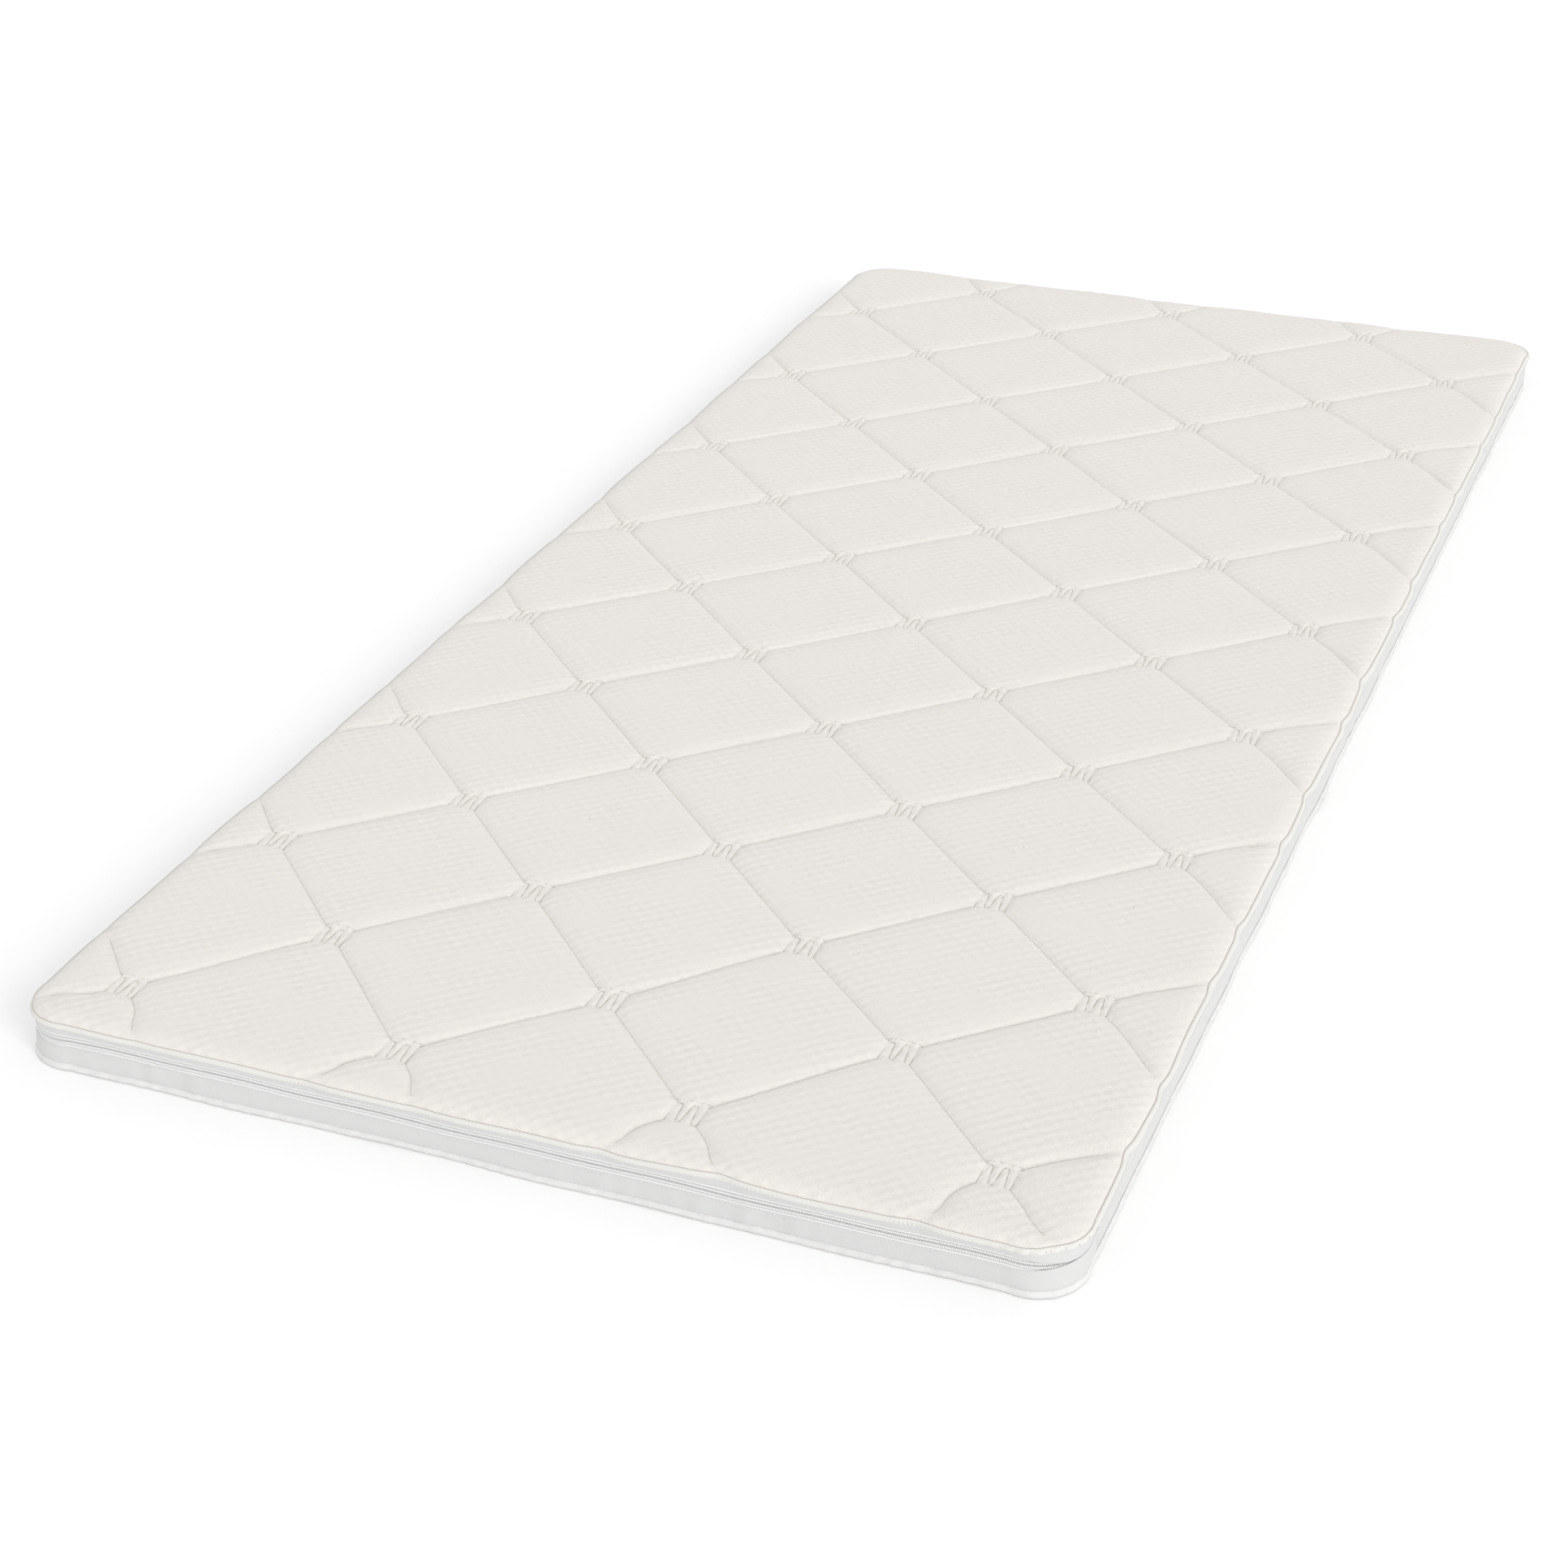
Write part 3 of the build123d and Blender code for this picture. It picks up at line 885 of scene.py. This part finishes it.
def quilt_stitches():
    """Stitches of every quilt line and tack, pulled into the ticking at both ends."""
    starts, ends, lifts = [], [], []
    for start, end, pitch, lift in quilt_runs():
        a, b = spaced(start, end, pitch)
        starts.append(a)
        ends.append(b)
        lifts.append(np.full(len(a), lift))
    starts, ends, lifts = np.concatenate(starts), np.concatenate(ends), np.concatenate(lifts)
    limit = np.array([HALF_W, HALF_L]) - 1.5
    kept = (np.abs(starts) < limit).all(axis=1) & (np.abs(ends) < limit).all(axis=1)
    starts, ends = starts[kept], ends[kept]
    levels = [top_points(starts + share * (ends - starts)) + (0, 0, up) for share, up in STITCH]
    path = np.stack(levels, axis=1)
    path[..., 2] += lifts[kept][:, None]
    run = path[:, -1] - path[:, 0]
    side = np.stack([-run[:, 1], run[:, 0], np.zeros(len(run))], axis=1)[:, None, :]
    side = np.repeat(side, len(STITCH), axis=1)
    strands("quilt_stitches", path, side, 0.31, "quilt_thread", ("quilting_thread",))


# ---------------------------------------------------------------- the sides
# Sections of the side pieces are lists of (inset, height). For the zip's own parts the
# height is taken from the middle of the zip.

def hinge_share(way):
    """1 along the plain border, 0 along the zip."""
    way = np.mod(way + AROUND / 8, AROUND) - AROUND / 8
    return smooth((way - ZIP_END) / 60) + 1 - smooth((way - ZIP_START + 40) / 80)


def top_lip():
    """The rolled seam allowance under the top seam, with the ribs of its overlock."""
    way = np.arange(0, AROUND, 1.12)
    hinge = hinge_share(way)
    place, _ = track(way)
    drop = 2.6 + 1.0 * hinge * (0.7 + 0.5 * wave(place, 50, 150, 41))
    reach = 2.5 + 0.9 * hinge + 0.25 * wave(place, 30, 90, 42)
    ribs = (0.10 + 0.22 * hinge) * np.cos(2 * math.pi * way / 3.4)
    corner = np.exp(-(((way - BEND / 2) / 45) ** 2))
    frill = 0.8 * corner * np.cos(2 * math.pi * way / 11)
    angles = np.linspace(math.pi / 2, -math.pi / 2, 10)
    middle = 44.9 - drop
    inset, height = [], []
    for angle in angles:
        belly = max(math.cos(angle), 0) ** 0.8
        inset.append(0.6 - (reach + ribs + frill) * belly - 0.4)
        height.append(middle + drop * math.sin(angle))
    for z in (middle - drop + 0.8, middle + drop - 0.8):
        inset.append(np.full(len(way), 1.5))
        height.append(z)
    piece = band(
        "top_seam_roll", way, np.stack(inset, axis=1), np.stack(height, axis=1),
        "seam_thread", ("top_seam_overlock",), ring=True,
    )
    piece.data.materials[0] = LIP


def overlock_loops():
    """Loops of overlock thread over the edge of the top seam."""
    way = np.arange(0, AROUND, 3.4)
    way = way + 0.25 * np.sin(way * 12.9)
    hinge = hinge_share(way)[:, None]
    loop = np.array([0.1, -1.6, -2.65, -2.75, -1.9, 0.1])
    share = np.linspace(0, 1, len(loop))
    inset = loop + 0.3 * (1 - hinge) - 0.9 * hinge * np.sin(math.pi * share)
    height = 44.6 - (4.7 + 1.4 * hinge) * share
    paths = side_points(way, inset, height)
    _, out = track(way)
    side = np.stack([out[:, 1], -out[:, 0], np.zeros(len(way))], axis=1)[:, None, :]
    side = np.repeat(side, len(loop), axis=1)
    strands("top_overlock_loops", paths, side, 0.24, "seam_thread")


def row_of_stitches(name, start, end, pitch, inset, height, radius, slot, replaces=()):
    """A row of stitches along the outline."""
    way = np.arange(start, end - pitch, pitch)
    inset = inset - wrinkles(track(way)[0], height)[:, None]
    spread = np.array([0.05, 0.3, 0.7, 0.95]) * pitch
    rise = np.array([0.35, 0.0, 0.0, 0.35])
    level = np.full((len(way), 1), height)
    rows = [side_points(way + k, inset + dip, level) for k, dip in zip(spread, rise)]
    paths = np.concatenate(rows, axis=1)
    side = np.zeros_like(paths)
    side[..., 2] = 1
    strands(name, paths, side, radius, slot, replaces)


def wrinkles(place, height):
    """Soft upright wrinkles of the lower border, stronger in some stretches."""
    stretch = np.clip(wave(place, 180, 420, 51) + 0.2, 0, 1.2)
    return 0.9 * stretch * wave(place, 17, 44, 52) * np.sin(math.pi * np.clip((height - 5) / 18, 0, 1))


def zip_borders():
    """The strips above and below the zip, each with a folded edge."""
    way = ends_of(ZIP_START, ZIP_END, 3.0)
    place, _ = track(way)
    upper = [
        (-0.9, 41), (-1.15, 39.6), (-0.8, 38.3), (-0.15, 36.8), (0.25, 35.4), (0.5, 34.4),
        (0.75, 33.9), (1.0, 33.9), (1.2, 34.4), (1.35, 35.5), (1.4, 38), (1.4, 41),
    ]
    closed = smooth((78 - way) / 56)[:, None]
    inset, height = section(way, upper)
    edge = closed * np.clip((38 - height) / 4, 0, 1)
    inset, height = inset - 0.9 * edge, height - 5.2 * edge
    piece = band("border_above_zip", way, inset, height, "border_knit", ("upper_border",))
    lower = [
        (1.0, 23.3), (0.6, 23.15), (0.3, 22.4), (0.0, 20.5), (-0.35, 17.5), (-0.5, 14), (-0.45, 10.5),
        (-0.1, 8), (0.5, 6.2), (1.2, 4.8), (2.5, 4.8), (1.6, 8), (1.0, 14), (1.2, 20.5), (1.25, 22.6),
    ]
    inset, height = section(way, lower)
    inset = inset - np.stack([wrinkles(place, height[:, k]) for k in range(len(lower))], axis=1)
    edge = closed * np.clip((height - 18) / 4, 0, 1)
    inset, height = inset - 0.9 * edge, height + 5.1 * edge
    piece = band("border_below_zip", way, inset, height, "border_knit", ("lower_border",))


def plain_border():
    """The border without a zip, creased part of the way down."""
    way = ends_of(ZIP_END - 0.6, AROUND + ZIP_START + 0.6, 3.0)
    place, _ = track(way)
    levels = np.concatenate([np.linspace(41, 8, 17), (6.3, 4.8)])
    crease_z = 27 + 3.0 * wave(place, 120, 300, 61)
    depth = 1.3 + 0.8 * wave(place, 60, 180, 62)
    inset, height = [], []
    for z in levels:
        belly = -0.9 * math.sin(math.pi * np.clip((z - 5) / 36, 0, 1)) ** 2 + 0.4
        tuck = 1.0 * max(0.0, (8 - z) / 3.2)
        fold = depth * np.exp(-(((z - crease_z) / 2.6) ** 2))
        inset.append(belly + tuck + fold - wrinkles(place, np.full(len(way), z)))
        height.append(np.full(len(way), z))
    for z in (4.8, 15.0, 28.0, 41.0):
        inset.append(np.full(len(way), 3.2))
        height.append(np.full(len(way), z))
    piece = band(
        "plain_border", way, np.stack(inset, axis=1), np.stack(height, axis=1),
        "border_knit", ("hinge_border",),
    )


def bottom_hem():
    """The seam that joins the border to the underside, leaning in to the floor."""
    way = np.arange(0, AROUND, 1.5)
    place, _ = track(way)
    ribs = 0.10 * np.cos(2 * math.pi * way / 4.2) + 0.35 * wave(place, 9, 22, 71)
    angles = np.linspace(math.pi / 2, -math.pi / 2, 8)
    inset, height = [], []
    for angle in angles:
        belly = max(math.cos(angle), 0) ** 0.8
        inset.append(1.0 - (1.9 + ribs) * belly + 0.3 * math.sin(angle))
        height.append(np.full(len(way), 3.6 + 3.3 * math.sin(angle)))
    for z in (1.2, 5.8):
        inset.append(np.full(len(way), 2.6))
        height.append(np.full(len(way), z))
    piece = band(
        "bottom_seam_roll", way, np.stack(inset, axis=1), np.stack(height, axis=1),
        "seam_thread", ("bottom_seam_overlock",), ring=True,
    )


def zip_tapes():
    """Two woven tapes, side by side behind the borders' folded edges."""
    way = ends_of(ZIP_START - 0.5, ZIP_END + 0.5, 4.0)
    face = [
        (1.5, 12.5), (1.2, 6.4), (1.0, 4.7), (1.0, 3.7), (1.5, 3.4), (3.3, 3.3), (3.5, 2.8), (3.5, 0.3),
    ]
    back = [(3.85, 0.3), (3.85, 3.0), (3.6, 3.7), (2.2, 3.9), (1.6, 4.7), (1.95, 12.5)]
    for name, side, node in (("tape_above", 1, "zip_tape_upper"), ("tape_below", -1, "zip_tape_lower")):
        profile = [(inset, ZIP_Z + side * rise) for inset, rise in face + back][::side]
        inset, height = section(way, profile)
        piece = band(name, way, inset, height, "zip_tape", (node,))


def zip_coils():
    """Both halves of the coil: a bent hoop of nylon for each tooth."""
    pitch = 1.45
    hoop = [(1.6, 3.0), (0.95, 2.7), (0.9, 1.1), (1.2, 0.3), (2.8, 0.3), (3.2, 1.4), (3.2, 2.9)]
    for name, side, node in (("coil_above", 1, "zip_coil_upper"), ("coil_below", -1, "zip_coil_lower")):
        shift = pitch / 4 * (side + 1)
        way = np.arange(ZIP_START + 7 + shift, ZIP_END - 7, pitch)
        inset = np.repeat(np.array([[p[0] for p in hoop]]), len(way), axis=0)
        height = np.repeat(np.array([[ZIP_Z + side * p[1] for p in hoop]]), len(way), axis=0)
        paths = side_points(way, inset, height)
        _, out = track(way)
        lean = np.linspace(-0.25, 0.25, len(hoop))[None, :, None]
        along = np.stack([out[:, 1], -out[:, 0], np.zeros(len(way))], axis=1)[:, None, :]
        paths = paths + lean * along
        strands(name, paths, np.repeat(along, len(hoop), axis=1), 0.42, "zip_coil", (node,))
        turn = np.linspace(0, 2 * math.pi, 7)[:-1]
        cord = [(1.75 - 0.75 * math.cos(a), ZIP_Z + side * 1.85 - 1.2 * math.sin(a)) for a in turn]
        ends = ends_of(ZIP_START + 7, ZIP_END - 7, 4.0)
        band(name + "_cord", ends, *section(ends, cord), "zip_tape")


def side_seams():
    """Upright stitches where the zip strips meet the plain border."""
    paths, sides = [], []
    insets = np.array([[0.1, -0.45, -0.45, 0.1]])
    for way in (np.array([ZIP_START - 2.0]), np.array([ZIP_END + 2.0])):
        _, out = track(way)
        for low in np.arange(8.0, 38.0, 3.2):
            heights = np.array([[low + 0.2, low + 0.9, low + 2.0, low + 2.7]])
            paths.append(side_points(way, insets, heights)[0])
            sides.append(np.repeat([[out[0, 1], -out[0, 0], 0.0]], 4, axis=0))
    strands(
        "side_seam_stitches", np.array(paths), np.array(sides), 0.3, "seam_thread",
        ("side_seam_stitching",),
    )


def care_label():
    """A blank label, sewn into the top seam and curling away from the border."""
    low, high = [np.array(corner) / MM for corner in LABEL]
    across = np.linspace(low[0], high[0], 13)
    down = np.linspace(0, 1, 12)
    grid_x, grid_d = np.meshgrid(across, down, indexing="ij")
    half = (high[0] - low[0]) / 2
    bend = ((grid_x - low[0] - half) / half) ** 2
    y = high[1] + 1.0 + 2.2 * grid_d ** 1.5 + 0.9 * bend * grid_d
    z = high[2] + 1.0 - grid_d * (high[2] - low[2] + 1.0)
    outer = np.stack([grid_x, y, z], axis=-1).reshape(-1, 3)
    points = np.concatenate([outer, outer - (0, 0.35, 0)])
    faces = shell_faces(len(across), len(down))
    piece = add_piece("blank_label", points, faces, "label_cloth", ("care_label",))


ticking = quilted_top()
inner_layers()
quilt_stitches()
top_lip()
overlock_loops()
row_of_stitches(
    "top_seam_stitches", 0, AROUND, 3.3, -0.25, 44.75, 0.36, "quilt_thread", ("top_seam_stitching",)
)
zip_borders()
plain_border()
bottom_hem()
row_of_stitches(
    "bottom_seam_stitches", 0, AROUND, 3.6, 0.1, 7.0, 0.28, "seam_thread", ("bottom_seam_stitching",)
)
zip_tapes()
zip_coils()
row_of_stitches(
    "stitches_above_zip", ZIP_START + 2, ZIP_END - 2, 3.2, 0.2, 35.6, 0.24, "seam_thread",
    ("zip_stitching_upper",),
)
row_of_stitches(
    "stitches_below_zip", ZIP_START + 2, ZIP_END - 2, 3.2, 0.0, 21.3, 0.24, "seam_thread",
    ("zip_stitching_lower",),
)
side_seams()
care_label()

for node in ("zip_slider", "zip_puller", "zip_bottom_stop", "zip_top_stops"):
    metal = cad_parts[node]
    metal.data.materials.clear()
    metal.data.materials.append(MATERIALS["zip_metal"])


# ---------------------------------------------------------------- studio

SUN_HEIGHT = 25.0
SUN_WAY = -32.0
SUN_STRENGTH = 1.05
SUN_SPREAD = 24.0
SKY_STRENGTH = 0.86
FLOOR_GLOW = 0.07
LENS = 66.8
CAMERA_PLACE = (0.888, -2.610, 1.337)
CAMERA_AIM = (61.38, 0.63, 21.833)


def ground():
    """A white studio floor with a faint glow of its own."""
    bpy.ops.mesh.primitive_plane_add(size=400, location=(0, 0, -0.0004))
    floor = bpy.context.object
    floor.name = "ground"
    white = material("studio_floor", (0.95, 0.95, 0.95), 0.9)
    look = Look(white)
    look.color(look.mix(look.noise(0.5), (0.94, 0.94, 0.94), (0.955, 0.955, 0.955)))
    look.shader.inputs["Emission Color"].default_value = (1, 1, 1, 1)
    look.shader.inputs["Emission Strength"].default_value = FLOOR_GLOW
    floor.data.materials.append(white)


def studio():
    """An even white sky, and a broad soft light from one side."""
    world = bpy.data.worlds.new("studio")
    bpy.context.scene.world = world
    world.use_nodes = True
    sky = world.node_tree.nodes["Background"]
    sky.inputs["Color"].default_value = (1, 1, 1, 1)
    sky.inputs["Strength"].default_value = SKY_STRENGTH
    sun = bpy.data.lights.new("window_side", "SUN")
    sun.energy = SUN_STRENGTH
    sun.angle = math.radians(SUN_SPREAD)
    lamp = bpy.data.objects.new("window_side", sun)
    lamp.rotation_euler = (0, math.radians(90 - SUN_HEIGHT), math.radians(SUN_WAY))
    bpy.context.scene.collection.objects.link(lamp)


def camera():
    lens = bpy.data.cameras.new("camera")
    lens.lens = LENS
    lens.sensor_width = 36
    view = bpy.data.objects.new("camera", lens)
    view.location = CAMERA_PLACE
    view.rotation_euler = [math.radians(angle) for angle in CAMERA_AIM]
    bpy.context.scene.collection.objects.link(view)
    bpy.context.scene.camera = view


ground()
studio()
camera()
bpy.context.scene.view_settings.view_transform = "Standard"
